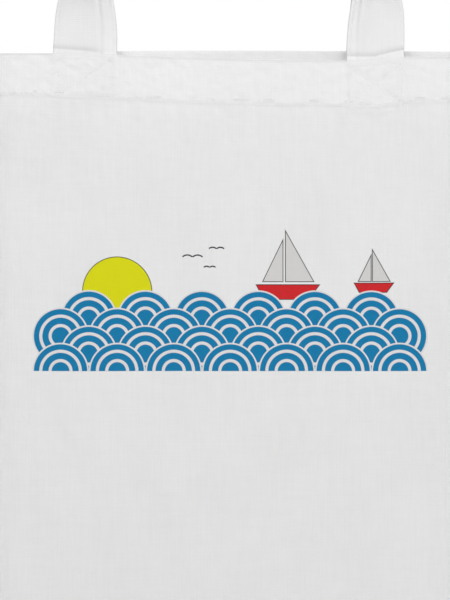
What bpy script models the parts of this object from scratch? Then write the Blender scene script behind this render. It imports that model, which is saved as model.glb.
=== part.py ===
"""A cotton tote bag, hanging open by its two cloth handles.

The bag's own frame: X runs to the right across the front, the front faces -Y, and +Z is up.
The origin is the middle of the underside of the back handle's arch, where a hand or a peg holds it.
"""

import math

import bmesh
import bpy
from mathutils import Vector

# The bag as it is cut and sewn, in metres.
BAG_WIDTH = 0.380
BAG_HEIGHT = 0.420
CLOTH_THICKNESS = 0.0006
HEM_HEIGHT = 0.026
HEM_THICKNESS = 0.0012  # three layers, where the edge is turned in twice
SEAM_WIDTH = 0.008
SEAM_THICKNESS = 0.0018

# The two handles, each a strip folded to four layers.
STRAP_WIDTH = 0.035
STRAP_THICKNESS = 0.0014
STRAP_SPACING = 0.169  # between the middles of one handle's two legs
SEWN_LENGTH = 0.024  # of each strap end, behind the hem
HANDLE_RISE = 0.270  # from the back panel's top edge to the underside of the back handle's arch
LEG_HEIGHT = 0.100  # the straight part of each leg
TWIST_LENGTH = 0.150  # along the leg, until the strap has turned edge on to the front
NEST_GAP = 0.005  # the front handle's arch lies this far outside the back one's

# How the empty bag hangs: half the distance between the outer faces of its two panels.
MOUTH_HALF_GAP = 0.0175
BELLY_HALF_GAP = 0.020
BELLY_DEPTH = 0.140  # below the mouth
FLAT_HALF_WIDTH = 0.106  # the panels are flat across this much, and close towards the sides
FRONT_DROP = 0.004  # the front panel's top edge hangs lower than the back one's

FIT_GAP = 0.0003  # between pieces that are sewn or pressed together

# Mesh steps, few where the cloth is flat.
PANEL_COLUMNS = 20
FLAT_SHARE = 0.3  # of the columns, spent on the flat middle
PANEL_ROWS = 14
HEM_ROWS = 2
LEG_STEPS = 8
ARCH_STEPS = 41  # odd, so that one flat step crosses the top of the arch
STRAP_COLUMNS = 2

COTTON_WHITE = (0.79, 0.79, 0.78)
HEM_WHITE = (0.84, 0.84, 0.83)
STRAP_WHITE = (0.77, 0.77, 0.76)

MOUTH_Z = -HANDLE_RISE
BOTTOM_Z = MOUTH_Z - BAG_HEIGHT
INNER_HALF_WIDTH = BAG_WIDTH / 2 - SEAM_WIDTH  # where the panels meet the side seams


def start_scene():
    """Empties the scene and returns the bag's collection."""
    for obj in list(bpy.data.objects):
        bpy.data.objects.remove(obj, do_unlink=True)
    bag = bpy.data.collections.new("tote_bag")
    bpy.context.scene.collection.children.link(bag)
    return bag


def make_material(name, colour, roughness):
    material = bpy.data.materials.new(name)
    material.use_nodes = True
    shader = material.node_tree.nodes["Principled BSDF"]
    shader.inputs["Base Color"].default_value = (*colour, 1)
    shader.inputs["Roughness"].default_value = roughness
    shader.inputs["Metallic"].default_value = 0
    return material


def smoothstep(t):
    t = min(max(t, 0), 1)
    return t * t * (3 - 2 * t)


def edge_half_gap(down):
    """Half the bag's thickness at a side seam, more where the two hems meet."""
    at_hem = HEM_THICKNESS + FIT_GAP
    at_panel = SEAM_THICKNESS / 2
    return at_hem + (at_panel - at_hem) * smoothstep(down / HEM_HEIGHT - 1)


def middle_half_gap(down, height):
    """Half the bag's thickness in the middle of its width, this far below the mouth."""
    if down < BELLY_DEPTH:
        swell = math.sin(math.pi / 2 * down / BELLY_DEPTH)
        return MOUTH_HALF_GAP + (BELLY_HALF_GAP - MOUTH_HALF_GAP) * swell
    closing = (down - BELLY_DEPTH) / (height - SEAM_WIDTH - BELLY_DEPTH)
    edge = SEAM_THICKNESS / 2
    return edge + (BELLY_HALF_GAP - edge) * max(1 - closing**2, 0)


def half_gap(x, down, height):
    """From the bag's middle plane to the cloth's outer face."""
    side = (abs(x) - FLAT_HALF_WIDTH) / (INNER_HALF_WIDTH - FLAT_HALF_WIDTH)
    edge = edge_half_gap(down)
    return edge + (middle_half_gap(down, height) - edge) * (1 - smoothstep(side))


def column_x(u, half_width):
    """The place across the bag of a grid column, u from -0.5 to 0.5. Columns crowd where it bends."""
    share = abs(2 * u)
    if share <= FLAT_SHARE:
        x = FLAT_HALF_WIDTH * share / FLAT_SHARE
    else:
        x = FLAT_HALF_WIDTH + (half_width - FLAT_HALF_WIDTH) * (share - FLAT_SHARE) / (1 - FLAT_SHARE)
    return math.copysign(x, u)


def make_sheet(name, columns, rows, place, thickness, offset, origin, material, collection):
    """A grid whose points go where place(u, v) says, thickened like cloth, with its origin as given."""
    mesh = bpy.data.meshes.new(name)
    grid = bmesh.new()
    bmesh.ops.create_grid(grid, x_segments=columns, y_segments=rows, size=0.5)
    for vertex in grid.verts:
        vertex.co = place(vertex.co.x, vertex.co.y) - origin
    grid.to_mesh(mesh)
    grid.free()
    mesh.materials.append(material)
    mesh.shade_smooth()
    sheet = bpy.data.objects.new(name, mesh)
    sheet.location = origin
    collection.objects.link(sheet)
    solidify = sheet.modifiers.new("cloth_thickness", "SOLIDIFY")
    solidify.thickness = thickness
    solidify.offset = offset
    solidify.use_even_offset = True
    return sheet


def make_wall(name, side, top_down, bottom_down, rows, thickness, material, collection):
    """One panel or hem of the front (side -1) or back (side 1), its outer face on the bag's shape."""
    drop = FRONT_DROP if side < 0 else 0
    height = BAG_HEIGHT - drop

    def place(u, v):
        x = column_x(u, INNER_HALF_WIDTH - FIT_GAP) * -side
        down = bottom_down + (top_down - bottom_down) * (v + 0.5)
        return Vector((x, side * half_gap(x, down, height), MOUTH_Z - drop - down))

    middle = Vector((0, 0, MOUTH_Z - drop - top_down))
    return make_sheet(name, PANEL_COLUMNS, rows, place, thickness, -1, middle, material, collection)


def make_slab(name, middle, size, material, collection):
    """A flat strip of cloth, as a box."""
    mesh = bpy.data.meshes.new(name)
    box = bmesh.new()
    bmesh.ops.create_cube(box, size=1)
    bmesh.ops.scale(box, vec=size, verts=box.verts)
    box.to_mesh(mesh)
    box.free()
    mesh.materials.append(material)
    slab = bpy.data.objects.new(name, mesh)
    slab.location = middle
    collection.objects.link(slab)
    return slab


def strap_y(side):
    """The middle of a strap's thickness where it goes behind its hem."""
    behind_hem = HEM_THICKNESS + FIT_GAP + STRAP_THICKNESS / 2
    return side * (MOUTH_HALF_GAP - behind_hem)


def hinge_point(side):
    """The fold line of a handle: the middle of its hem's top edge."""
    drop = FRONT_DROP if side < 0 else 0
    return Vector((0, side * (MOUTH_HALF_GAP - HEM_THICKNESS / 2), MOUTH_Z - drop))


def handle_path(side):
    """Points of a handle's middle line, left root to right root, in the plane across the front.

    Each is (x, z, length from the nearer root, direction towards the inside of the arch).
    """
    root_z = hinge_point(side).z + FIT_GAP
    nest = NEST_GAP if side < 0 else 0
    spread = STRAP_SPACING / 2
    top_z = STRAP_THICKNESS / 2
    half_step = math.pi / ARCH_STEPS / 2
    arch_height = (top_z - MOUTH_Z - LEG_HEIGHT) / math.cos(half_step)
    half = []
    for step in range(LEG_STEPS):
        rise = (MOUTH_Z + LEG_HEIGHT - root_z) * step / LEG_STEPS
        half.append((Vector((-spread, root_z + rise)), Vector((1, 0))))
    for step in range((ARCH_STEPS + 1) // 2):
        angle = math.pi * step / ARCH_STEPS
        point = Vector((-spread * math.cos(angle), MOUTH_Z + LEG_HEIGHT + arch_height * math.sin(angle)))
        outwards = Vector((-math.cos(angle) / spread, math.sin(angle) / arch_height)).normalized()
        half.append((point, -outwards))
    path = []
    length = 0
    last = half[0][0]
    for point, inwards in half:
        length += (point - last).length
        last = point
        shift = inwards * -nest * smoothstep(length / TWIST_LENGTH)
        path.append((point.x + shift.x, point.y + shift.y, length, inwards))
    mirrored = [(-x, z, length, Vector((-inwards.x, inwards.y))) for x, z, length, inwards in path]
    return path + mirrored[::-1]


def make_handle(name, side, material, collection):
    """One handle: a strap that leaves its hem flat, turns edge on and arches over."""
    path = handle_path(side)
    top_z = max(z for _, z, _, _ in path)
    hinge = hinge_point(side)
    steps = len(path) - 1

    def place(u, v):
        x, z, length, inwards = path[round((v + 0.5) * steps)]
        lean = (top_z - z) / (top_z - hinge.z)
        turn = math.pi / 2 * (1 - (1 - min(length / TWIST_LENGTH, 1)) ** 2)
        across = Vector((inwards.x * math.cos(turn), -math.sin(turn), inwards.y * math.cos(turn)))
        middle = Vector((x, strap_y(side) * lean, z))
        return middle + across * STRAP_WIDTH * u

    return make_sheet(
        name, STRAP_COLUMNS, steps, place, STRAP_THICKNESS, 0, hinge, material, collection
    )


def build():
    bag = start_scene()
    body_cotton = make_material("body_cotton", COTTON_WHITE, 0.9)
    hem_cotton = make_material("hem_cotton", HEM_WHITE, 0.9)
    strap_cotton = make_material("strap_cotton", STRAP_WHITE, 0.85)

    for word, side in (("front", -1), ("back", 1)):
        height = BAG_HEIGHT - (FRONT_DROP if side < 0 else 0)
        make_wall(f"{word}_hem", side, 0, HEM_HEIGHT, HEM_ROWS, HEM_THICKNESS, hem_cotton, bag)
        make_wall(
            f"{word}_panel",
            side,
            HEM_HEIGHT + FIT_GAP,
            height - SEAM_WIDTH - FIT_GAP,
            PANEL_ROWS,
            CLOTH_THICKNESS,
            body_cotton,
            bag,
        )
        make_handle(f"{word}_handle", side, strap_cotton, bag)
        for hand, across in (("left", -1), ("right", 1)):
            top = hinge_point(side).z
            make_slab(
                f"{word}_strap_end_{hand}",
                (across * STRAP_SPACING / 2, strap_y(side), top - SEWN_LENGTH / 2),
                (STRAP_WIDTH, STRAP_THICKNESS, SEWN_LENGTH),
                strap_cotton,
                bag,
            )

    seam_top = MOUTH_Z - FRONT_DROP
    seam_bottom = BOTTOM_Z + SEAM_WIDTH + FIT_GAP
    for hand, across in (("left", -1), ("right", 1)):
        make_slab(
            f"{hand}_side_seam",
            (across * (INNER_HALF_WIDTH + SEAM_WIDTH / 2), 0, (seam_top + seam_bottom) / 2),
            (SEAM_WIDTH, SEAM_THICKNESS, seam_top - seam_bottom),
            body_cotton,
            bag,
        )
    make_slab(
        "bottom_seam",
        (0, 0, BOTTOM_Z + SEAM_WIDTH / 2),
        (BAG_WIDTH, SEAM_THICKNESS, SEAM_WIDTH),
        body_cotton,
        bag,
    )


build()
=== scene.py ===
# %% [markdown]
# A bleached cotton tote bag, hung up by its two cloth handles. The construction is already done: the packed
# model gives every piece its place and size. This lesson dresses it, from the cloth's wrinkles to the thread.
# Lengths are in metres. X runs to the right across the front, the front faces -Y, and +Z is up.

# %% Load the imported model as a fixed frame
import math

import bmesh
import bpy
import numpy as np
from mathutils import Matrix, Vector


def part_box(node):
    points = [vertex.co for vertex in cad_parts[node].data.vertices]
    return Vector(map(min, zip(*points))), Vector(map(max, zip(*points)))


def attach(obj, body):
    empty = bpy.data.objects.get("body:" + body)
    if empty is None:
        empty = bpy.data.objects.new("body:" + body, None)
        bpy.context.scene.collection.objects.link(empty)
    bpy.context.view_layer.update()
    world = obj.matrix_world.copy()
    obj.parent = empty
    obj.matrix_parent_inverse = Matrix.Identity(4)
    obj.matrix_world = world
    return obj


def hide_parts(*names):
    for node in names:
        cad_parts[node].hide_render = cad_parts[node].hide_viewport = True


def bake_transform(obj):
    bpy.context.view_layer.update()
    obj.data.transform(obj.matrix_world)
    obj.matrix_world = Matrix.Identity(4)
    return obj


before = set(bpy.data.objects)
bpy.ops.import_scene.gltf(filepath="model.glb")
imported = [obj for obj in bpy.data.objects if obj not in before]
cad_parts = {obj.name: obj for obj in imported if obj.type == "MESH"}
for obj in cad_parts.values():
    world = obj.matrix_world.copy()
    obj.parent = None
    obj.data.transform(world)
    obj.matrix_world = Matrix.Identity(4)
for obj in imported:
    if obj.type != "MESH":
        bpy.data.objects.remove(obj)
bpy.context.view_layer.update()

print("nodes:", ", ".join(sorted(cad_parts)))

# %% [markdown]
# The sizes come from the frame where it holds them. What it can't say, such as how far the walls stand
# apart, is named here once, and every piece below is worked out from these values.

# %% Sizes of the bag
MM = 0.001
SEAM_LOW, SEAM_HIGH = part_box("right_side_seam")
HEM_LOW, HEM_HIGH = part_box("back_hem")
STRAP_LOW, STRAP_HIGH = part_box("back_strap_end_right")
HALF_WIDTH = SEAM_HIGH.x
SEAM_WIDTH = SEAM_HIGH.x - SEAM_LOW.x
SEAM_THICKNESS = SEAM_HIGH.y - SEAM_LOW.y
INNER_HALF_WIDTH = SEAM_LOW.x  # where the walls meet the side seams
MOUTH_Z = HEM_HIGH.z
BOTTOM_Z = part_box("bottom_seam")[0].z
HEM_HEIGHT = HEM_HIGH.z - HEM_LOW.z
FRONT_DROP = MOUTH_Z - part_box("front_hem")[1].z
STRAP_WIDTH = STRAP_HIGH.x - STRAP_LOW.x
STRAP_THICKNESS = STRAP_HIGH.y - STRAP_LOW.y
STRAP_X = (STRAP_HIGH.x + STRAP_LOW.x) / 2
SEWN_LENGTH = STRAP_HIGH.z - STRAP_LOW.z

CLOTH_THICKNESS = 0.6 * MM
HEM_THICKNESS = 1.2 * MM
FIT_GAP = 0.3 * MM
MOUTH_HALF_GAP = 17.5 * MM  # half the distance between the two walls at the mouth
BELLY_HALF_GAP = 20 * MM
BELLY_DEPTH = 140 * MM
FLAT_HALF_WIDTH = 124 * MM  # the walls stay flat this far out, and then close towards the sides
LEG_HEIGHT = 100 * MM  # the straight part of a handle's leg
TWIST_LENGTH = 150 * MM
NEST_GAP = 5 * MM  # the front handle's arch lies this far outside the back one's

SIDES = {"front": -1, "back": 1}
HANDS = {"left": -1, "right": 1}
print(f"bag {2000 * HALF_WIDTH:.0f} mm wide, {1000 * (MOUTH_Z - BOTTOM_Z):.0f} mm high, hem {1000 * HEM_HEIGHT:.0f} mm")

# %% [markdown]
# The photograph looks straight at the front from far away, so that both straps stay almost parallel and only
# a thin strip of the back hem shows over the front one. A long lens far off gives that. Its frame is 450
# pixels wide and 600 high, and a millimetre of cloth covers 1.71 of them.

# %% Camera
PIXEL = 0.585 * MM  # of cloth, in the plane of the front wall
FRAME_WIDTH_PX, FRAME_HEIGHT_PX = 450, 600
CAMERA_DISTANCE = 4.0
CAMERA_X = -3 * MM
CAMERA_Z = -416.8 * MM

camera_data = bpy.data.cameras.new("camera")
camera_data.type = "PERSP"
camera_data.sensor_width = 36
camera_data.lens = camera_data.sensor_width * CAMERA_DISTANCE / (FRAME_HEIGHT_PX * PIXEL)
camera = bpy.data.objects.new("camera", camera_data)
camera.location = (CAMERA_X, -MOUTH_HALF_GAP - CAMERA_DISTANCE, CAMERA_Z)
camera.rotation_euler = (math.radians(90), 0, 0)
bpy.context.scene.collection.objects.link(camera)
bpy.context.scene.camera = camera
print(f"lens {camera_data.lens:.0f} mm, view {FRAME_WIDTH_PX * PIXEL:.3f} by {FRAME_HEIGHT_PX * PIXEL:.3f} m")

# %% [markdown]
# Colours are written as they look on a screen, in sRGB hex, and one function turns them to the linear values
# that a shader works in. One small function adds any node, so that each material below reads as a list.


# %% Colour and node helpers
def linear(hex_colour):
    """The linear RGBA of an sRGB hex colour."""
    channels = [int(hex_colour[i : i + 2], 16) / 255 for i in (1, 3, 5)]
    return tuple(c / 12.92 if c <= 0.04045 else ((c + 0.055) / 1.055) ** 2.4 for c in channels) + (1.0,)


def add(tree, kind, inputs=(), **settings):
    """Adds a node with its settings. inputs maps each input's name or number to a value or a socket."""
    node = tree.nodes.new(kind)
    for name, value in settings.items():
        setattr(node, name, value)
    for key, value in dict(inputs).items():
        if isinstance(value, bpy.types.NodeSocket):
            tree.links.new(value, node.inputs[key])
        else:
            node.inputs[key].default_value = value
    return node


# %% [markdown]
# Plain woven cotton: warp threads run down and weft threads run across, each passing over and under the
# other in turn. The height at a point is the thicker of the two threads there, and which one is on top
# alternates like a chessboard: the product of two sines has just those signs. Real calico has about 2 threads
# in a millimetre, which is finer than a pixel here, so the threads are drawn 2.5 times as coarse.
# Slubs are the thick places in a spun thread: noise stretched along the thread's own direction.

# %% Woven cotton
THREAD_PITCH = 1.25 * MM  # drawn coarser than the real 0.5 mm, so that it shows
SLUB_WIDTH = 1.1 * MM
SLUB_LENGTH = 26 * MM
THREAD_WANDER = 0.5 * MM
WEAVE_DEPTH = 0.16 * MM
COTTON_ROUGHNESS = 0.88  # matt, with a faint fuzz that catches light at the edges
BODY_WHITES = ("#eaeaea", "#e4e4e4")


def stretched_noise(tree, place, size, detail=2.0):
    """Noise whose grains have the given size along and down the cloth."""
    scaled = add(tree, "ShaderNodeMapping", {"Vector": place, "Scale": (1 / size[0], 1 / size[1], 1)})
    return add(tree, "ShaderNodeTexNoise", {"Vector": scaled.outputs[0], "Scale": 1, "Detail": detail}).outputs[0]


def weave_height(tree, place, pitch):
    """The height of a plain weave, 0 to 1, from cloth coordinates in metres."""
    wander = add(tree, "ShaderNodeTexNoise", {"Vector": place, "Scale": 90, "Detail": 1})
    centred = add(tree, "ShaderNodeVectorMath", {0: wander.outputs["Color"], 1: (0.5, 0.5, 0.5)}, operation="SUBTRACT")
    moved = add(
        tree,
        "ShaderNodeVectorMath",
        {0: centred.outputs[0], 1: (THREAD_WANDER,) * 3, 2: place},
        operation="MULTIPLY_ADD",
    )
    turns = add(tree, "ShaderNodeVectorMath", {0: moved.outputs[0], "Scale": math.pi / pitch}, operation="SCALE")
    sines = add(tree, "ShaderNodeVectorMath", {0: turns.outputs[0]}, operation="SINE")
    split = add(tree, "ShaderNodeSeparateXYZ", {0: sines.outputs[0]})
    parity = add(tree, "ShaderNodeMath", {0: split.outputs[0], 1: split.outputs[1]}, operation="MULTIPLY")
    threads = []
    for axis, sign in ((0, 0.5), (1, -0.5)):
        on_top = add(tree, "ShaderNodeMath", {0: parity.outputs[0], 1: sign, 2: 0.5}, operation="MULTIPLY_ADD")
        round_thread = add(tree, "ShaderNodeMath", {0: split.outputs[axis]}, operation="ABSOLUTE")
        threads.append(
            add(tree, "ShaderNodeMath", {0: on_top.outputs[0], 1: round_thread.outputs[0]}, operation="MULTIPLY")
        )
    return add(
        tree, "ShaderNodeMath", {0: threads[0].outputs[0], 1: threads[1].outputs[0]}, operation="MAXIMUM"
    ).outputs[0]


def woven_cotton(name, colour, dark, pitch=THREAD_PITCH, depth=WEAVE_DEPTH):
    """A cotton material. It returns the material, its cloth coordinates and the socket of its thread colour."""
    material = bpy.data.materials.new(name)
    material.use_nodes = True
    tree = material.node_tree
    shader = tree.nodes["Principled BSDF"]
    place = add(tree, "ShaderNodeUVMap", uv_map="cloth").outputs[0]
    weave = weave_height(tree, place, pitch)
    warp_slubs = stretched_noise(tree, place, (SLUB_WIDTH, SLUB_LENGTH))
    weft_slubs = stretched_noise(tree, place, (SLUB_LENGTH, SLUB_WIDTH))
    clouds = stretched_noise(tree, place, (45 * MM, 60 * MM))
    slubs = add(tree, "ShaderNodeMath", {0: weft_slubs, 1: 0.55, 2: warp_slubs}, operation="MULTIPLY_ADD").outputs[0]
    mottle = add(tree, "ShaderNodeMath", {0: clouds, 1: 0.8, 2: slubs}, operation="MULTIPLY_ADD").outputs[0]
    shade = add(
        tree,
        "ShaderNodeMapRange",
        {"Value": mottle, "From Min": 0.75, "From Max": 1.6, "To Min": 0, "To Max": 1},
    ).outputs[0]
    tint = add(tree, "ShaderNodeMix", {"Factor": shade, 6: linear(dark), 7: linear(colour)}, data_type="RGBA")
    relief = add(tree, "ShaderNodeMath", {0: slubs, 1: 0.7, 2: weave}, operation="MULTIPLY_ADD").outputs[0]
    bump = add(tree, "ShaderNodeBump", {"Height": relief, "Distance": depth, "Strength": 0.55})
    rough = add(
        tree,
        "ShaderNodeMapRange",
        {"Value": weave, "To Min": COTTON_ROUGHNESS + 0.06, "To Max": COTTON_ROUGHNESS - 0.06},
    )
    tree.links.new(tint.outputs[2], shader.inputs["Base Color"])
    tree.links.new(rough.outputs[0], shader.inputs["Roughness"])
    tree.links.new(bump.outputs[0], shader.inputs["Normal"])
    shader.inputs["Sheen Weight"].default_value = 0.12
    shader.inputs["Sheen Roughness"].default_value = 0.6
    shader.inputs["Specular IOR Level"].default_value = 0.2
    shader.inputs["Subsurface Weight"].default_value = 0.4  # thin cloth lets light through, so the mouth glows
    shader.inputs["Subsurface Radius"].default_value = (1, 1, 1)
    shader.inputs["Subsurface Scale"].default_value = 1.0 * MM
    return material, place, tint.outputs[2], shader


body_cotton, _, _, _ = woven_cotton("bleached_calico_body", *BODY_WHITES)
hem_cotton, _, hem_thread, hem_shader = woven_cotton("bleached_calico_hem", "#ededed", "#e8e8e8")
strap_cotton, _, strap_thread, strap_shader = woven_cotton("bleached_calico_strap", "#ebebeb", "#e7e7e7", 1.1 * MM)


def tint_where(shader, colour, attribute, tint):
    """Turns a cotton's thread colour to tint where the mesh's attribute says so, 0 to 1."""
    tree = shader.id_data
    amount = add(tree, "ShaderNodeAttribute", attribute_name=attribute).outputs["Fac"]
    mixed = add(tree, "ShaderNodeMix", {"Factor": amount, 6: colour, 7: linear(tint)}, data_type="RGBA").outputs[2]
    tree.links.new(mixed, shader.inputs["Base Color"])
    return mixed


# Painted shade: the top of each hem's fold is painted a darker grey, for the shadow along the hem's top edge.
tint_where(hem_shader, hem_thread, "fold", "#dedede")
# Painted highlight: the strap's folded edge, where the cloth also lies doubled, and the wedge under its crease are
# painted a lighter white.
strap_colour_with_painted_highlight = tint_where(strap_shader, strap_thread, "folded_edge", "#eeeeee")
# Painted shade: a band just above each strap's crease is painted a darker grey.
tint_where(strap_shader, strap_colour_with_painted_highlight, "crease", "#cfcfcf")
print("materials:", body_cotton.name, hem_cotton.name, strap_cotton.name)

# %% [markdown]
# The front wall carries a screen print. Ink sinks into the threads, so it is part of the cloth's own
# material: each motif is a depth, positive inside the shape, and the ink is laid where that depth is above
# zero. The design is a plain seaside one in the same colours as the real bag's print: rows of round waves, a
# sun, two sailing boats and three gulls. The waves are the traditional pattern of overlapping circles.

# %% The print's inks and sizes
INKS = {"blue": "#007aaa", "yellow": "#d7d600", "line": "#dddada", "sail": "#d2d0cf", "red": "#cc2026"}
INKS["black"] = "#202124"
INK_EDGE = 0.25 * MM  # how softly ink ends in the threads
OUTLINE = 0.45 * MM
PRINT_MIDDLE = 143 * MM  # below the front wall's top edge
WAVE_PITCH = 33 * MM
WAVE_RADIUS = WAVE_PITCH / 2
WAVE_STEP = 10.2 * MM  # from one row of waves to the next
WAVE_ROWS = 4
WAVES_ACROSS = 7
SEA_BOTTOM = PRINT_MIDDLE + 40.5 * MM


def within_disc(tree, place, centre, radius):
    """Depth inside a disc."""
    distance = add(tree, "ShaderNodeVectorMath", {0: place, 1: (*centre, 0)}, operation="DISTANCE")
    return add(tree, "ShaderNodeMath", {0: radius, 1: distance.outputs["Value"]}, operation="SUBTRACT").outputs[0]


def least(tree, depths):
    """Depth inside the overlap of several shapes."""
    result = depths[0]
    for depth in depths[1:]:
        result = add(tree, "ShaderNodeMath", {0: result, 1: depth}, operation="MINIMUM").outputs[0]
    return result


def within_corners(tree, place, corners):
    """Depth inside a convex shape whose corners are listed clockwise as seen, with distances down the cloth."""
    depths = []
    for (x1, y1), (x2, y2) in zip(corners, corners[1:] + corners[:1]):
        normal = Vector((y1 - y2, x2 - x1, 0)).normalized()
        along = add(tree, "ShaderNodeVectorMath", {0: place, 1: normal}, operation="DOT_PRODUCT")
        reach = normal.x * x1 + normal.y * y1
        depths.append(add(tree, "ShaderNodeMath", {0: along.outputs["Value"], 1: reach}, operation="SUBTRACT").outputs[0])
    return least(tree, depths)


def lay_ink(tree, under, cover, depth, ink):
    """Ink over what is under it, where depth is above zero. It returns the new colour and how much ink is there."""
    amount = add(
        tree, "ShaderNodeMath", {0: depth, 1: 1 / INK_EDGE, 2: 0.5}, operation="MULTIPLY_ADD", use_clamp=True
    ).outputs[0]
    mixed = add(tree, "ShaderNodeMix", {"Factor": amount}, data_type="RGBA")
    tree.links.new(under, mixed.inputs[6])
    mixed.inputs[7].default_value = linear(INKS[ink])
    covered = add(tree, "ShaderNodeMath", {0: cover, 1: amount}, operation="MAXIMUM").outputs[0]
    return mixed.outputs[2], covered


def outlined(tree, under, cover, depth, ink):
    """A motif with a thin black outline."""
    wider = add(tree, "ShaderNodeMath", {0: depth, 1: OUTLINE}, operation="ADD").outputs[0]
    under, cover = lay_ink(tree, under, cover, wider, "black")
    return lay_ink(tree, under, cover, depth, ink)


# %% [markdown]
# One row of waves folds the cloth's sideways coordinate into a single pitch, so seven circles cost no more
# than one. Rows are laid from the back to the front, and each covers the lower half of the one before.


# %% Motifs of the print
def wave_row(tree, place, under, cover, row):
    """One row of round waves with two pale rings each. Row 0 is the front one, at the bottom."""
    split = add(tree, "ShaderNodeSeparateXYZ", {0: place})
    count = WAVES_ACROSS - row % 2
    half_row = count * WAVE_PITCH / 2
    shift = 0.5 if count % 2 else 0.0
    turns = add(
        tree, "ShaderNodeMath", {0: split.outputs[0], 1: 1 / WAVE_PITCH, 2: shift}, operation="MULTIPLY_ADD"
    )
    share = add(tree, "ShaderNodeMath", {0: turns.outputs[0]}, operation="FRACT")
    local = add(
        tree, "ShaderNodeMath", {0: share.outputs[0], 1: WAVE_PITCH, 2: -WAVE_PITCH / 2}, operation="MULTIPLY_ADD"
    )
    level = SEA_BOTTOM - row * WAVE_STEP
    height = add(tree, "ShaderNodeMath", {0: split.outputs[1], 1: level}, operation="SUBTRACT")
    point = add(tree, "ShaderNodeCombineXYZ", {0: local.outputs[0], 1: height.outputs[0]})
    distance = add(tree, "ShaderNodeVectorMath", {0: point.outputs[0]}, operation="LENGTH").outputs["Value"]
    circle = add(tree, "ShaderNodeMath", {0: WAVE_RADIUS, 1: distance}, operation="SUBTRACT").outputs[0]
    sideways = add(tree, "ShaderNodeMath", {0: split.outputs[0]}, operation="ABSOLUTE")
    inside_row = add(tree, "ShaderNodeMath", {0: half_row, 1: sideways.outputs[0]}, operation="SUBTRACT").outputs[0]
    above = add(tree, "ShaderNodeMath", {0: SEA_BOTTOM, 1: split.outputs[1]}, operation="SUBTRACT").outputs[0]
    body = least(tree, [circle, inside_row, above])
    under, cover = lay_ink(tree, under, cover, body, "line")
    inner = add(tree, "ShaderNodeMath", {0: circle, 1: 0.9 * MM}, operation="SUBTRACT").outputs[0]
    under, cover = lay_ink(tree, under, cover, least(tree, [inner, inside_row, above]), "blue")
    for ring_radius, ring_width in ((0.7, 1.8 * MM), (0.37, 1.8 * MM)):
        offset = add(tree, "ShaderNodeMath", {0: distance, 1: ring_radius * WAVE_RADIUS}, operation="SUBTRACT")
        away = add(tree, "ShaderNodeMath", {0: offset.outputs[0]}, operation="ABSOLUTE")
        ring = add(tree, "ShaderNodeMath", {0: ring_width / 2, 1: away.outputs[0]}, operation="SUBTRACT").outputs[0]
        under, cover = lay_ink(tree, under, cover, least(tree, [ring, inside_row, above]), "line")
    return under, cover


def boat(tree, place, under, cover, x, waterline, size):
    """A small sailing boat: a red hull, a grey mainsail and a grey jib."""
    shapes = (
        ("sail", ((0.5, -30), (15, -3.5), (0.5, -3.5))),
        ("sail", ((-1.2, -25), (-1.2, -3.5), (-11.5, -3.5))),
        ("red", ((-15, -1.5), (18, -1.5), (12.5, 6), (-11, 6))),
    )
    for ink, corners in shapes:
        placed = [(x + size * across * MM, waterline + size * down * MM) for across, down in corners]
        under, cover = outlined(tree, under, cover, within_corners(tree, place, placed), ink)
    return under, cover


def gull(tree, place, under, cover, x, down, wing):
    """Two thin black arcs that meet in the middle."""
    moved = add(tree, "ShaderNodeVectorMath", {0: place, 1: (x, down, 0)}, operation="SUBTRACT")
    folded = add(tree, "ShaderNodeVectorMath", {0: moved.outputs[0]}, operation="ABSOLUTE")
    split = add(tree, "ShaderNodeSeparateXYZ", {0: folded.outputs[0]})
    signed = add(tree, "ShaderNodeSeparateXYZ", {0: moved.outputs[0]})
    point = add(tree, "ShaderNodeCombineXYZ", {0: split.outputs[0], 1: signed.outputs[1]})
    disc = within_disc(tree, point.outputs[0], (wing / 2, wing * 0.45), wing * 0.67)
    away = add(tree, "ShaderNodeMath", {0: disc}, operation="ABSOLUTE")
    arc = add(tree, "ShaderNodeMath", {0: 0.4 * MM, 1: away.outputs[0]}, operation="SUBTRACT").outputs[0]
    above = add(tree, "ShaderNodeMath", {0: 0, 1: signed.outputs[1]}, operation="SUBTRACT").outputs[0]
    near = add(tree, "ShaderNodeMath", {0: wing, 1: split.outputs[0]}, operation="SUBTRACT").outputs[0]
    return lay_ink(tree, under, cover, least(tree, [arc, above, near]), "black")


# %% Print the front wall's cotton
printed_cotton, cloth_place, thread_colour, print_shader = woven_cotton("screen_printed_calico", *BODY_WHITES)
ink_tree = printed_cotton.node_tree
no_ink = add(ink_tree, "ShaderNodeValue").outputs[0]
no_ink.default_value = 0
SEA_TOP = SEA_BOTTOM - (WAVE_ROWS - 1) * WAVE_STEP - WAVE_RADIUS

sun = within_disc(ink_tree, cloth_place, (-66 * MM, SEA_TOP + 1 * MM), 20 * MM)
printed, ink_cover = outlined(ink_tree, thread_colour, no_ink, sun, "yellow")
for boat_x, waterline, boat_size in ((32, -1.5, 1.1), (83, -3.2, 0.68)):
    waterline = SEA_TOP + waterline * MM
    printed, ink_cover = boat(ink_tree, cloth_place, printed, ink_cover, boat_x * MM, waterline, boat_size)
for gull_x, gull_down, gull_wing in ((-22, -26, 6), (-8, -31, 4.5), (-12, -20, 3.5)):
    printed, ink_cover = gull(
        ink_tree, cloth_place, printed, ink_cover, gull_x * MM, PRINT_MIDDLE + gull_down * MM, gull_wing * MM
    )
for wave in reversed(range(WAVE_ROWS)):
    printed, ink_cover = wave_row(ink_tree, cloth_place, printed, ink_cover, wave)

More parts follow.
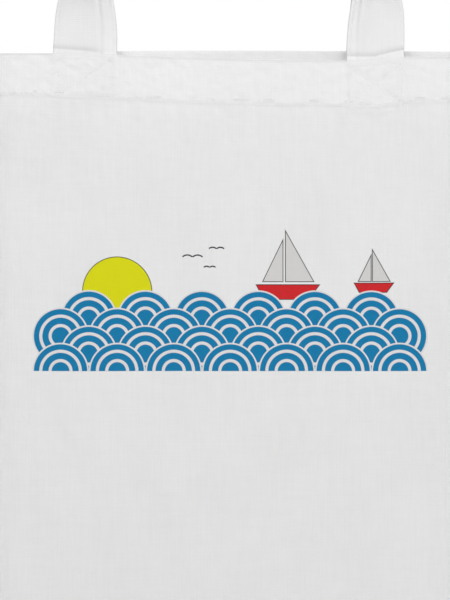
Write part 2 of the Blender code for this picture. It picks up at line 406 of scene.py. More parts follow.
worn = stretched_noise(ink_tree, cloth_place, (0.9 * MM, 0.9 * MM), 1.0)
soak = add(ink_tree, "ShaderNodeMapRange", {"Value": worn, "From Min": 0.3, "From Max": 0.75, "To Min": 0.0, "To Max": 0.006})
ink_look = add(ink_tree, "ShaderNodeMix", {"Factor": soak.outputs[0]}, data_type="RGBA")
ink_tree.links.new(printed, ink_look.inputs[6])
ink_tree.links.new(thread_colour, ink_look.inputs[7])
ink_tree.links.new(ink_look.outputs[2], print_shader.inputs["Base Color"])
print("print:", len(ink_tree.nodes), "nodes")

# %% [markdown]
# Sewing thread is spun polyester: rounder and a little shinier than the cloth, and as white as the hem.
# A fine spiral along each stitch would be far smaller than a pixel, so its twist is only a soft mottling.

# %% Thread
sewing_thread = bpy.data.materials.new("spun_polyester_thread")
sewing_thread.use_nodes = True
thread_tree = sewing_thread.node_tree
thread_shader = thread_tree.nodes["Principled BSDF"]
thread_place = add(thread_tree, "ShaderNodeTexCoord").outputs["Object"]
twist = add(thread_tree, "ShaderNodeTexNoise", {"Vector": thread_place, "Scale": 1 / (0.6 * MM), "Detail": 1})
thread_tint = add(thread_tree, "ShaderNodeMix", {"Factor": twist.outputs[0]}, data_type="RGBA")
thread_tint.inputs[6].default_value = linear("#e8e8e8")
thread_tint.inputs[7].default_value = linear("#f2f2f2")
thread_tree.links.new(thread_tint.outputs[2], thread_shader.inputs["Base Color"])
thread_bump = add(thread_tree, "ShaderNodeBump", {"Height": twist.outputs[0], "Distance": 0.05 * MM})
thread_tree.links.new(thread_bump.outputs[0], thread_shader.inputs["Normal"])
thread_shader.inputs["Roughness"].default_value = 0.55

# %% [markdown]
# Every wrinkle is a formula over the flat cloth, so that wall, hem and stitches bend together. A sum of a few
# sine waves with nearly the same length, in random directions, makes a field of soft ripples. Its random
# numbers come from a fixed seed, so the bag creases the same way each time.


# %% Ripples and easing
def ease(t):
    """0 to 1 with a soft start and end."""
    t = np.clip(t, 0, 1)
    return t * t * (3 - 2 * t)


def bell(t):
    """1 at 0, falling away softly on both sides."""
    return np.exp(-(t**2))


def ripples(seed, a, b, length_a, length_b, waves=11):
    """A smooth random field of about -1 to 1, its waves length_a long along a and length_b along b."""
    random = np.random.default_rng(seed)
    total = np.zeros(np.broadcast(a, b).shape)
    for _ in range(waves):
        angle = random.uniform(0, math.pi)
        number = 2 * math.pi * random.uniform(0.7, 1.3)
        phase = random.uniform(0, 2 * math.pi)
        total += np.sin(number * (a / length_a * math.cos(angle) + b / length_b * math.sin(angle)) + phase)
    return total / math.sqrt(waves)


# %% [markdown]
# The walls stand apart in the middle and close towards the sides and the bottom, as an empty bag does when its
# handles are drawn straight up. The front's top edge hangs in a shallow curve between its straps and slants a
# little, and the back's edge stands higher, which is the thin strip that shows over the front.

# %% The bag's walls
LEFT_DROP, RIGHT_DROP = 2.5 * MM, 6.7 * MM  # the front's edge at its straps, below the back's
RIGHT_LIFT = 2.0 * MM  # the right strap pulls the edge beyond it up again by this much
EDGE_SAG = 1.1 * MM
BACK_CROWN = 0.4 * MM
SEAM_DROPS = {"left": 1.7 * MM, "right": 3.0 * MM}
DROP_FADE = 0.16  # below the mouth, the slant has gone
HEM_SLANT = 0.004  # the hem is turned a little wider towards the right
HEM_PINCH = 1.4 * MM  # and this much narrower at its left end
HEM_SAGS = ((0, 60 * MM, 0.6 * MM), (88 * MM, 17 * MM, 1.7 * MM))  # where its lower edge hangs lower: x, reach, drop
PUCKER_LENGTH = 7.5 * MM
PUCKER_DEPTH = 0.22 * MM
UNDER_HEM = 0.16 * MM  # the single cloth lies this much deeper along the hem's stitching


def edge_drop(side, x):
    """How far a wall's top edge hangs below the back's highest point."""
    share = (x / STRAP_X + 1) / 2
    sag = np.clip(1 - (x / STRAP_X) ** 2, 0, None)
    outside = np.clip((np.abs(x) - STRAP_X) / (HALF_WIDTH - STRAP_X), 0, 1)
    seam = np.where(x < 0, SEAM_DROPS["left"], SEAM_DROPS["right"])
    if side < 0:
        at_strap = LEFT_DROP + (RIGHT_DROP - LEFT_DROP) * np.clip(share, 0, 1)
        at_strap = at_strap - RIGHT_LIFT * ease((x - STRAP_X + 10 * MM) / (30 * MM))
        return at_strap + EDGE_SAG * sag + (seam - at_strap) * outside**3
    quick = np.where(x < 0, 1 - (1 - outside) ** 6, outside**3)
    return seam * quick - BACK_CROWN * sag


def wall_height(side, x, down):
    """The height of a point of a wall, down below its top edge."""
    settled = FRONT_DROP if side < 0 else 0
    drop = edge_drop(side, x)
    fade = ease(down / DROP_FADE)
    take_up = HEM_PINCH * ease((-x - 92 * MM) / (32 * MM)) - HEM_SLANT * x
    for middle, reach, sag in HEM_SAGS if side < 0 else ():
        take_up = take_up - sag * bell((x - middle) / reach)
    take_up = take_up * np.clip(down / HEM_HEIGHT, 0, 1)
    return MOUTH_Z - down - drop - (settled - drop) * fade + take_up * (1 - fade)


def half_gap(x, down, height):
    """From the bag's middle plane to a wall's outer face, before any wrinkle."""
    at_hem = HEM_THICKNESS + FIT_GAP
    at_panel = SEAM_THICKNESS / 2
    edge = at_hem + (at_panel - at_hem) * ease(down / HEM_HEIGHT - 1)
    swell = np.sin(math.pi / 2 * np.clip(down / BELLY_DEPTH, 0, 1))
    closing = np.clip((down - BELLY_DEPTH) / (height - SEAM_WIDTH - BELLY_DEPTH), 0, 1)
    upper = MOUTH_HALF_GAP + (BELLY_HALF_GAP - MOUTH_HALF_GAP) * swell
    lower = at_panel + (BELLY_HALF_GAP - at_panel) * (1 - closing**2)
    middle = np.where(down < BELLY_DEPTH, upper, lower)
    side = (np.abs(x) - FLAT_HALF_WIDTH) / (INNER_HALF_WIDTH - FLAT_HALF_WIDTH)
    return edge + (middle - edge) * (1 - ease(side))


def slow_folds(side, x, down):
    """The broad upright waves of a wall, which fade out towards its seams."""
    from_side = INNER_HALF_WIDTH - np.abs(x)
    free = ease(from_side / (14 * MM)) * ease((MOUTH_Z - BOTTOM_Z - SEAM_WIDTH - down) / (16 * MM))
    return 0.9 * MM * ripples(10 if side < 0 else 40, x, down, 85 * MM, 420 * MM) * free * ease((down - HEM_HEIGHT) / (60 * MM))


def wrinkles(side, x, down):
    """How far the cloth stands out of its smooth shape, in metres."""
    seed = 10 if side < 0 else 40
    height = MOUTH_Z - BOTTOM_Z
    from_side = INNER_HALF_WIDTH - np.abs(x)
    from_bottom = height - SEAM_WIDTH - down
    free = ease(from_side / (14 * MM)) * ease(from_bottom / (16 * MM))
    below_hem = ease((down - HEM_HEIGHT) / (60 * MM))
    soft = 0.28 * MM * ripples(seed + 1, x, down, 34 * MM, 60 * MM, 15) * (0.35 + 0.65 * below_hem)
    crumple = 0.10 * MM * ripples(seed + 2, x, down, 11 * MM, 12 * MM, 19)
    crumple = crumple + 0.09 * MM * ripples(seed + 6, x, down, 6 * MM, 6 * MM, 19) * bell(down / (90 * MM))
    pucker = PUCKER_DEPTH * ripples(seed + 3, x, 0 * down, PUCKER_LENGTH, 1, 7)
    pucker = pucker * bell((down - HEM_HEIGHT) / (5 * MM))
    pucker = pucker - UNDER_HEM * bell((down - HEM_HEIGHT - 1.4 * MM) / (2.0 * MM))
    total = slow_folds(side, x, down) + (soft + crumple) * free + pucker * ease(from_side / (6 * MM))
    for hand in HANDS.values():
        root_distance = np.hypot(x - hand * STRAP_X, down - HEM_HEIGHT / 2)
        angle = np.arctan2(x - hand * STRAP_X, down)
        pull = 0.22 * MM * np.sin(9 * angle + hand) * bell(root_distance / (42 * MM))
        pull = pull * ease(root_distance / (16 * MM))
        total = total + pull * free
    side_tuck = 0.45 * MM * ripples(seed + 4, 0 * x, down, 1, 17 * MM, 7)
    total = total + side_tuck * bell((from_side - 7 * MM) / (7 * MM)) * ease(from_side / (4 * MM)) * below_hem
    foot_tuck = 0.4 * MM * ripples(seed + 5, x, 0 * down, 19 * MM, 1, 7)
    return total + foot_tuck * bell((from_bottom - 7 * MM) / (8 * MM)) * ease(from_bottom / (4 * MM))


# %% [markdown]
# No formula folds cloth quite as gravity does. So a coarse bag, both walls joined at the sides and the bottom,
# is simulated once, hung by its hem. It has 0.6% more cloth than its shape needs, as cotton has once it has
# been packed and handled, and the slack gathers in soft upright folds. Only how far each point moved is kept.
# A cubic spline reads that between the coarse points, so walls, hems, seams and stitches all follow it.

# %% Simulate how the bag hangs
SIM_COLUMNS, SIM_ROWS = 62, 67  # 6 mm apart
SIM_FRAMES = 25
SLACK = 0.006


def wall_length(side):
    """From a wall's top edge to the bottom seam."""
    return MOUTH_Z - BOTTOM_Z - SEAM_WIDTH - (FRONT_DROP if side < 0 else 0)


def coarse_bag():
    """The start of the simulation: its points, and each wall's grid of point numbers, by side."""
    grid = np.arange(SIM_ROWS * SIM_COLUMNS).reshape(SIM_ROWS, SIM_COLUMNS)
    back = grid.copy()  # the back wall shares the front's points along its sides and bottom
    back[:-1, 1:-1] = grid.size + np.arange((SIM_ROWS - 1) * (SIM_COLUMNS - 2)).reshape(SIM_ROWS - 1, -1)
    points = np.zeros((back.max() + 1, 3))
    x = np.linspace(-INNER_HALF_WIDTH, INNER_HALF_WIDTH, SIM_COLUMNS)[None, :]
    for side, numbers in ((1, back), (-1, grid)):
        down = np.linspace(0, wall_length(side), SIM_ROWS)[:, None]
        out = half_gap(x, down, wall_length(side) + SEAM_WIDTH) + slow_folds(side, x, down)
        settled = FRONT_DROP if side < 0 else 0
        points[numbers] = np.stack([x + 0 * down, side * out, MOUTH_Z - settled - down + 0 * x], axis=-1)
    seams = np.concatenate([grid[:, 0], grid[:, -1], grid[-1]])
    points[seams, 1] = 0
    return points, {-1: grid, 1: back}


def hang_bag():
    """Lets the coarse bag hang, and returns how far the points of each wall moved, by side."""
    points, walls_by_side = coarse_bag()
    quads = [
        np.stack([n[:-1, :-1], n[:-1, 1:], n[1:, 1:], n[1:, :-1]], axis=-1).reshape(-1, 4)
        for n in walls_by_side.values()
    ]
    mesh = bpy.data.meshes.new("coarse_bag")
    mesh.from_pydata(points.tolist(), [], np.concatenate(quads).tolist())
    bag = bpy.data.objects.new("coarse_bag", mesh)
    bpy.context.scene.collection.objects.link(bag)
    pinned_rows = math.ceil(HEM_HEIGHT / wall_length(1) * (SIM_ROWS - 1)) + 1
    pinned = np.unique([numbers[:pinned_rows] for numbers in walls_by_side.values()]).tolist()
    bag.vertex_groups.new(name="hem").add(pinned, 1.0, "REPLACE")
    cloth = bag.modifiers.new("calico", "CLOTH")
    cloth.point_cache.frame_end = SIM_FRAMES
    cloth.collision_settings.use_collision = False
    calico = cloth.settings
    calico.quality = 5
    calico.mass = 0.01
    calico.tension_stiffness = calico.compression_stiffness = 25
    calico.shear_stiffness = 6
    calico.bending_stiffness = 0.02
    calico.tension_damping = calico.compression_damping = calico.shear_damping = 15
    calico.air_damping = 3
    calico.shrink_min = -SLACK
    calico.vertex_group_mass = "hem"
    for frame_number in range(1, SIM_FRAMES + 1):
        bpy.context.scene.frame_set(frame_number)
    hung_mesh = bag.evaluated_get(bpy.context.evaluated_depsgraph_get()).to_mesh()
    hung_points = np.empty(points.size)
    hung_mesh.vertices.foreach_get("co", hung_points)
    moved = hung_points.reshape(-1, 3) - points
    bpy.data.objects.remove(bag)
    bpy.data.meshes.remove(mesh)
    bpy.context.scene.frame_set(1)
    return {side: moved[numbers] for side, numbers in walls_by_side.items()}


hung = hang_bag()
for edge in (np.s_[:, :2], np.s_[:, -2:], np.s_[-2:]):  # along the seams both walls move as one
    hung[-1][edge] = hung[1][edge] = (hung[-1][edge] + hung[1][edge]) / 2
print(f"the walls moved up to {1000 * max(np.abs(moved).max() for moved in hung.values()):.1f} mm as they came to hang")


# %% Read the simulation between its points
def spline_weights(t):
    """The weights of four neighbours along a smooth cubic spline, t of a step past the second."""
    return np.stack([(1 - t) ** 3, 3 * t**3 - 6 * t**2 + 4, -3 * t**3 + 3 * t**2 + 3 * t + 1, t**3]) / 6


def hang_offset(side, x, down):
    """How far a wall's cloth moved at a point as it came to hang."""
    x, down = np.broadcast_arrays(x, down)
    row = np.clip(down / wall_length(side), 0, 1) * (SIM_ROWS - 1)
    column = np.clip((x / INNER_HALF_WIDTH + 1) / 2, 0, 1) * (SIM_COLUMNS - 1)
    i, j = np.floor(row).astype(int), np.floor(column).astype(int)
    offset = np.zeros(x.shape + (3,))
    for m, row_weight in enumerate(spline_weights(row - i)):
        for n, column_weight in enumerate(spline_weights(column - j)):
            near = hung[side][np.clip(i + m - 1, 0, SIM_ROWS - 1), np.clip(j + n - 1, 0, SIM_COLUMNS - 1)]
            offset += near * (row_weight * column_weight)[..., None]
    return offset


# %% Bend the whole bag
def drape(points):
    """Bends the whole bag: its side edges curl a little and its foot swings, while the straps' roots stay."""
    x, y, z = (points[..., i] for i in range(3))
    depth = np.clip((MOUTH_Z - z) / (MOUTH_Z - BOTTOM_Z), 0, 1)
    reach = ease((np.abs(x) - FLAT_HALF_WIDTH) / (HALF_WIDTH - FLAT_HALF_WIDTH))
    left = x < 0
    curl = np.where(left, -4.5 * MM * np.sin(3.6 * depth), 3.8 * MM * np.sin(4.3 * depth + 0.2 * depth))
    swing = 2.2 * MM * np.sin(x / HALF_WIDTH * 2.6 + 0.7) * depth**3
    pull_in = np.sign(x) * reach * (1.3 * MM * np.sin(math.pi * depth) + 0.7 * MM * np.sin(31 * depth) * depth)
    foot = 1.2 * MM * np.cos(x / HALF_WIDTH * 2.2 + 0.4) * depth**4
    return np.stack([x - pull_in, y + curl * reach * ease(depth * 4) + swing, z + foot], axis=-1)


def wall_points(side, x, down, lift):
    """Points lift outside a wall's outer face."""
    height = MOUTH_Z - BOTTOM_Z - (FRONT_DROP if side < 0 else 0)
    out = half_gap(x, down, height) + wrinkles(side, x, down) + lift
    smooth = np.stack([x + 0 * down, side * out, wall_height(side, x, down)], axis=-1)
    return drape(smooth + hang_offset(side, x, down))


def seam_points(points):
    """Points of a seam's edge, moved with the walls that it joins."""
    return drape(points + hang_offset(1, points[..., 0], MOUTH_Z - points[..., 2]))


print(f"front edge hangs {1000 * edge_drop(-1, np.array(0.03)):.1f} mm under the back's")

# %% [markdown]
# A sheet of cloth is a grid of points. One function turns such a grid into a mesh, and keeps a UV map named
# cloth that holds each point's place on the flat cloth in metres, so that threads run true round every bend.


# %% From a grid of points to a piece
def mesh_of(name, points, uvs, wrap=False):
    """A mesh over rows and columns of points. wrap closes each row to a ring, and closes both ends."""
    rows, columns = points.shape[:2]
    index = np.arange(rows * columns).reshape(rows, columns)
    if wrap:
        index = np.concatenate([index, index[:, :1]], axis=1)
    quads = np.stack([index[:-1, :-1], index[:-1, 1:], index[1:, 1:], index[1:, :-1]], axis=-1).reshape(-1, 4)
    corners = np.stack([uvs[:-1, :-1], uvs[:-1, 1:], uvs[1:, 1:], uvs[1:, :-1]], axis=2).reshape(-1, 2)
    faces = quads.tolist()
    if wrap:
        faces += [index[0, :-1][::-1].tolist(), index[-1, :-1].tolist()]
        corners = np.concatenate([corners, uvs[0, :-1][::-1], uvs[-1, :-1]])
    mesh = bpy.data.meshes.new(name)
    mesh.from_pydata(points.reshape(-1, 3).tolist(), [], faces)
    layer = mesh.uv_layers.new(name="cloth")
    layer.data.foreach_set("uv", corners.astype(np.float32).ravel())
    if wrap:
        shell = bmesh.new()
        shell.from_mesh(mesh)
        bmesh.ops.recalc_face_normals(shell, faces=shell.faces)
        shell.to_mesh(mesh)
        shell.free()
    mesh.shade_smooth()
    return mesh


def place_piece(name, mesh, material, stands_for=(), body=None):
    """Links a piece, gives it its material, and makes it move with a body of the frame."""
    piece = bpy.data.objects.new(name, mesh)
    bpy.context.scene.collection.objects.link(piece)
    if not mesh.materials:
        mesh.materials.append(material)
    if body:
        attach(piece, body)
    if stands_for:
        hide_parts(*stands_for)
    print(f"{name}: {len(mesh.polygons)} faces")
    return piece


def settled_mesh(piece):
    """The piece's mesh with its modifiers applied."""
    graph = bpy.context.evaluated_depsgraph_get()
    mesh = bpy.data.meshes.new_from_object(piece.evaluated_get(graph))
    piece.modifiers.clear()
    return mesh


# %% [markdown]
# Each wall is one layer of calico. Its rows crowd under the hem, where the puckers of the stitching are only
# a few millimetres wide. Solidify gives the grid the cloth's thickness, inwards. The wall's top is tucked
# 3 mm up inside the hem, as the real cloth runs on into the fold.

# %% Front and back wall
WALL_COLUMNS = 240
WALL_ROWS = 180
TUCK = 3 * MM
PATCH_DEPTH = 4 * MM  # the strap's sewn end reaches this far below the hem, behind the cloth
FOLD_STRIPS = (7.8 * MM, 6.0 * MM)  # on the left leg, on the right leg
LEG_WIDTHS = (1.07, 0.967)  # of the even strap, at the left root and the right one
PATCH_RELIEF = 0.42 * MM
ROOT_SHIFTS = {-1: 0.45 * MM, 1: 1.65 * MM}  # front and back roots sit this far outside their solids' middles


def leg_width(x):
    return np.where(x < 0, *LEG_WIDTHS)


def fold_strip(x):
    """The width of the folded edge on the inner side of a strap: the two legs were not folded alike."""
    left, right = FOLD_STRIPS
    return left + (right - left) * ease(0.5 + 0.6 * x / STRAP_X)


def from_root(side, x):
    """Distance across the bag from the middle of the nearer strap's root, positive outwards."""
    return np.abs(x) - STRAP_X - ROOT_SHIFTS[side]


def over_straps(side, x, soft=0.9 * MM):
    """1 where a strap's sewn end lies behind the cloth."""
    return ease((STRAP_WIDTH / 2 * leg_width(x) - np.abs(from_root(side, x))) / soft + 0.5)


def make_wall(word, side, material):
    height = MOUTH_Z - BOTTOM_Z - (FRONT_DROP if side < 0 else 0)
    top, bottom = HEM_HEIGHT - TUCK, height - SEAM_WIDTH + 1 * MM
    share = np.linspace(0, 1, WALL_ROWS)
    down = (top + (bottom - top) * (0.45 * share + 0.55 * share**2))[:, None]
    x = np.linspace(-INNER_HALF_WIDTH - 1 * MM, INNER_HALF_WIDTH + 1 * MM, WALL_COLUMNS)[None, :] * -side
    patch = PATCH_RELIEF * over_straps(side, x) * ease((HEM_HEIGHT + PATCH_DEPTH - down) / (1.8 * MM) + 0.5)
    points = wall_points(side, x, down, patch)
    uvs = np.stack(np.broadcast_arrays(x, down), axis=-1)
    mesh = mesh_of(f"{word}_wall", points[::-1], uvs[::-1])
    mesh.materials.append(material)
    piece = place_piece(f"{word}_wall", mesh, material)
    thick = piece.modifiers.new("calico", "SOLIDIFY")
    thick.thickness = CLOTH_THICKNESS
    thick.offset = -1
    piece.data = settled_mesh(piece)
    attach(piece, "bag")
    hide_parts(f"{word}_panel")
    return piece


walls = {
    "front": make_wall("front", -1, printed_cotton),
    "back": make_wall("back", 1, body_cotton),
}

# %% [markdown]
# The hem is the wall's own edge, turned in twice: three layers, a round fold on top, and a small step at
# the bottom where the turned edge ends. It is swept as a ring of points from one side of the bag to the other.
# Where a strap is sewn in behind it, it stands out by the strap's folds, and the box stitching quilts it.
# The top of each fold is painted a darker grey: painted shade along the hem's top edge.

# %% Front and back hem
HEM_PROUD = 0.16 * MM  # the hem's outer face stands this far outside the wall's
HEM_LOOSE = 0.16 * MM  # and further where its turned edge lies loose, right of the middle
SUNK = 0.10 * MM  # its lower edge sinks this far into the wall's face, so that no step shows
HEM_COLUMNS = 330
HEM_REACH = HEM_HEIGHT + 1.1 * MM  # so that the line where it sinks into the wall lies at its height
STITCH_LINE = HEM_REACH - 2.6 * MM
BOX_TOP = 3.2 * MM
BOX_HALF_WIDTH = STRAP_WIDTH / 2 - 2 * MM


def quilting(side, x, down):
    """The dents of the box stitching: a rectangle with a cross in it over each strap's end."""
    across = from_root(side, x) / BOX_HALF_WIDTH
    middle = (BOX_TOP + STITCH_LINE) / 2
    half_height = (STITCH_LINE - BOX_TOP) / 2
    up = (down - middle) / half_height
    inside = ease((1 - np.abs(across)) * 12 + 0.5) * ease((1 - np.abs(up)) * 12 + 0.5)
    cross = bell((np.abs(across) - np.abs(up)) * 11) * inside
    sides = bell((1 - np.abs(across)) * 14) * ease((1.05 - np.abs(up)) * 20)
    rows = bell((1 - np.abs(up)) * 11) * ease((1.05 - np.abs(across)) * 20)
    puffs = inside * np.sin(math.pi * np.clip(np.abs(np.abs(across) - np.abs(up)), 0, 1))
    return 0.18 * MM * puffs - 0.15 * MM * np.maximum(np.maximum(cross, sides), rows)


def hem_relief(side, x, down):
    """How far the hem's outer face stands out of its even thickness."""
    seed = 70 if side < 0 else 90
    loose = (0.35 + bell((x - 52 * MM) / (38 * MM))) * HEM_LOOSE
    above_edge = HEM_REACH - down
    ridge = loose * bell((above_edge - 1.9 * MM) / (1.3 * MM)) * ease(above_edge / (1.8 * MM))
    taper = (HEM_PROUD + SUNK) * (1 - ease(above_edge / (2.6 * MM)))
    groove = -0.10 * MM * bell((down - STITCH_LINE + 0.6 * MM) / (1.0 * MM))
    crumple = 0.17 * MM * ripples(seed, x, down, 13 * MM, 9 * MM, 17)
    fine = 0.07 * MM * ripples(seed + 1, x, down, 5 * MM, 6 * MM, 17)
    inner_line = from_root(side, x) + STRAP_WIDTH / 2 - fold_strip(x)
    fold_line = -0.12 * MM * bell(inner_line / (0.9 * MM))
    free = ease(above_edge / (3.5 * MM))  # along its edge the hem lies as the wall does
    own = ridge + (groove + crumple + fine + fold_line + quilting(side, x, down)) * free
    return own - taper + PATCH_RELIEF * over_straps(side, x)


def hem_points(side, x, down, lift):
    """Points lift outside a hem's outer face."""
    return wall_points(side, x, down, HEM_PROUD + hem_relief(side, x, down) + lift)


def make_hem(word, side):
    fold = (HEM_PROUD + HEM_THICKNESS) / 2
    outer = np.linspace(HEM_REACH - 0.3 * MM, fold, 46)
    arc = np.linspace(0, math.pi, 9)[1:-1]
    inner = np.linspace(fold, HEM_REACH - 0.3 * MM, 16)
    down = np.concatenate([outer, fold - fold * np.sin(arc), inner])[None, :]
    outwards = np.concatenate([np.ones(len(outer)), np.cos(arc), -np.ones(len(inner))])[None, :]
    x = np.linspace(-HALF_WIDTH + 0.2 * MM, HALF_WIDTH - 0.2 * MM, HEM_COLUMNS)[:, None]
    near_end = ease((HALF_WIDTH - np.abs(x)) / (1.2 * MM) + 0.25)
    facing = np.clip(outwards, 0, 1)
    lift = HEM_PROUD - fold + outwards * fold * near_end + hem_relief(side, x, down) * facing * near_end
    points = wall_points(side, x, down, lift)
    around = np.cumsum(np.concatenate([[0], np.hypot(np.diff(down[0]), fold * np.diff(outwards[0]))]))
    around = np.concatenate([around, [around[-1] + 2 * fold]])
    uvs = np.stack(np.broadcast_arrays(x, around[None, :]), axis=-1)
    mesh = mesh_of(f"{word}_turned_hem", points, uvs, wrap=True)
    # Painted shade: the top of the fold is painted darker, less where a strap's end lies behind it.
    painted_fold_shade = bell(np.clip(down - 0.4 * MM, 0, None) / (0.7 * MM)) * (outwards > -0.5) * (1 - 0.8 * over_straps(side, x))
    mesh.attributes.new("fold", "FLOAT", "POINT").data.foreach_set("value", painted_fold_shade.ravel())
    return place_piece(f"{word}_turned_hem", mesh, hem_cotton, [f"{word}_hem"], "bag")


hems = {word: make_hem(word, side) for word, side in SIDES.items()}

# %% [markdown]
# The side and bottom seams stand out flat as a narrow stitched edge. Each is a flattened ring swept along the
# edge, with the small waves that a row of tight stitches draws into cotton.

# %% Seam edges
SEAM_STEPS = 240
RING_POINTS = 18


def seam_ring(width, thickness):
    """A rounded flat section: offsets across the seam and through it."""
    angles = np.linspace(0, 2 * math.pi, RING_POINTS, endpoint=False)
    across = np.sign(np.cos(angles)) * np.abs(np.cos(angles)) ** 0.45 * width / 2
    through = np.sign(np.sin(angles)) * np.abs(np.sin(angles)) ** 0.6 * thickness / 2
    return across, through


def make_seam(name, start, end, across_axis, seed, node):
    """A stitched edge from start to end, its width along across_axis (0 for X, 2 for Z)."""
    share = np.linspace(0, 1, SEAM_STEPS)[:, None]
    length = (Vector(end) - Vector(start)).length
    middle = np.array(start)[None, :] + (np.array(end) - np.array(start))[None, :] * share
    across, through = seam_ring(SEAM_WIDTH + 1 * MM, SEAM_THICKNESS + 0.2 * MM)
    points = np.repeat(middle[:, None, :], RING_POINTS, axis=1)
    points[..., across_axis] += across[None, :] + 0.25 * MM * ripples(seed, share * length, 0, 21 * MM, 1, 7)
    outer_half = ease(np.abs(across[None, :]) / SEAM_WIDTH + 0.3)
    points[..., 1] += through[None, :] + 0.35 * MM * outer_half * ripples(seed + 1, share * length, 0, 15 * MM, 1, 7)
    u = np.broadcast_to(share * length, (SEAM_STEPS, RING_POINTS + 1))
    v = np.broadcast_to(np.linspace(0, 2 * SEAM_WIDTH, RING_POINTS + 1)[None, :], u.shape)
    mesh = mesh_of(name, seam_points(points), np.stack([u, v], axis=-1), wrap=True)
    return place_piece(name, mesh, body_cotton, [node], "bag")


SEAM_MIDDLE = INNER_HALF_WIDTH + SEAM_WIDTH / 2 - 0.5 * MM
SEAM_TOP = MOUTH_Z - FRONT_DROP - HEM_HEIGHT + 4 * MM
SEAM_FOOT = BOTTOM_Z + SEAM_WIDTH / 2 + 0.5 * MM
for hand, sign in HANDS.items():
    start = (sign * SEAM_MIDDLE, 0, SEAM_TOP)
    make_seam(f"{hand}_seam_edge", start, (sign * SEAM_MIDDLE, 0, SEAM_FOOT), 0, 20 + sign, f"{hand}_side_seam")
make_seam(
    "bottom_seam_edge", (-HALF_WIDTH + 0.5 * MM, 0, SEAM_FOOT), (HALF_WIDTH - 0.5 * MM, 0, SEAM_FOOT), 2, 30, "bottom_seam"
)

# %% [markdown]
# A handle is one strip, folded to four layers and stitched along both edges. It leaves the hem flat, turns
# edge on within 150 mm, and arches over. It is swept as a ring of points along its middle line. The folded
# edge on its inner side stands a little proud, with a soft dark line beside it, and just above the hem each
# leg keeps the slanting crease of a bag that was packed flat. Part of their light and shade is painted: the
# folded edge and the wedge under the crease are painted lighter, and a band just above the crease darker.

# %% The straps' middle lines
TWIST_START = 44 * MM
CREASE_INNER = (0.2 * MM, 1.9 * MM)  # above the hem, on the inner half of the left leg and the right one
CREASE_OUTER = (3.0 * MM, 6.0 * MM)  # and at their outer edges
CREASE_START = (0.24 * STRAP_WIDTH, 0.0)  # it starts to climb here, measured inwards from the strap's middle
CREASE_SLOPE = 0.13  # the strap slants in from the hem to the crease by this much of their distance
CREASE_SWELL = 0.7 * MM  # and swells out this far above it
BACK_LEG_WIDTH = 0.96  # of a front leg, so that the back ones hide behind them
BOWS = (-1.0 * MM, 0.3 * MM)  # above its root the left leg bows inwards, and the right one outwards
BOW_MIDDLE, BOW_REACH = 42 * MM, 36 * MM


def strap_line(side):
    """Stations from the left sewn end over the arch to the right one: x, z, length from the root, inwards x and z."""
    drop = FRONT_DROP if side < 0 else 0
    nest = NEST_GAP if side < 0 else 0
    root_z = MOUTH_Z - drop
    leg_top = MOUTH_Z + LEG_HEIGHT
    arch_height = STRAP_THICKNESS / 2 - leg_top
    rise = np.concatenate([np.linspace(-SEWN_LENGTH, -2 * MM, 12), np.linspace(-1.5 * MM, 12 * MM, 28)])
    rise = np.concatenate([rise, np.linspace(14 * MM, leg_top - root_z, 46)])
    angle = np.linspace(0, math.pi / 2, 100)[1:]
    x = np.concatenate([np.full(len(rise), -STRAP_X), -STRAP_X * np.cos(angle)])
    z = np.concatenate([root_z + rise, leg_top + arch_height * np.sin(angle)])
    inward = np.stack([np.cos(angle) / STRAP_X, -np.sin(angle) / arch_height], axis=-1)
    inward /= np.linalg.norm(inward, axis=1, keepdims=True)
    inward = np.concatenate([np.tile([[1.0, 0.0]], (len(rise), 1)), inward])
    length = np.concatenate([[0], np.cumsum(np.hypot(np.diff(x), np.diff(z)))]) - SEWN_LENGTH
    shift = nest * ease(length / TWIST_LENGTH)
    x, z = x - inward[:, 0] * shift, z - inward[:, 1] * shift
    mirror = slice(-2, None, -1)
    return (
        np.concatenate([x, -x[mirror]]),
        np.concatenate([z, z[mirror]]),
        np.concatenate([length, length[mirror]]),
        np.concatenate([inward, (inward * [-1, 1])[mirror]]),
    )


def strap_y(side):
    """The middle of a strap's thickness where it goes behind its hem."""
    return side * (MOUTH_HALF_GAP - HEM_THICKNESS - FIT_GAP - STRAP_THICKNESS / 2)


def crease_place(side, across):
    """How far each point of a strap lies out of the hem, and how far out the crease lies there."""
    x, _, length, _ = strap_line(side)
    left = x[:, None] < 0
    out_of_hem = length[:, None] + edge_drop(side, x[:, None]) - (FRONT_DROP if side < 0 else 0)
    climb_start = np.where(left, *CREASE_START)
    climb = np.clip((climb_start - across) / (STRAP_WIDTH / 2 + climb_start), 0, 1) ** np.where(left, 0.6, 0.8)
    low, high = np.where(left, *CREASE_INNER), np.where(left, *CREASE_OUTER)
    return out_of_hem, low + (high - low) * climb


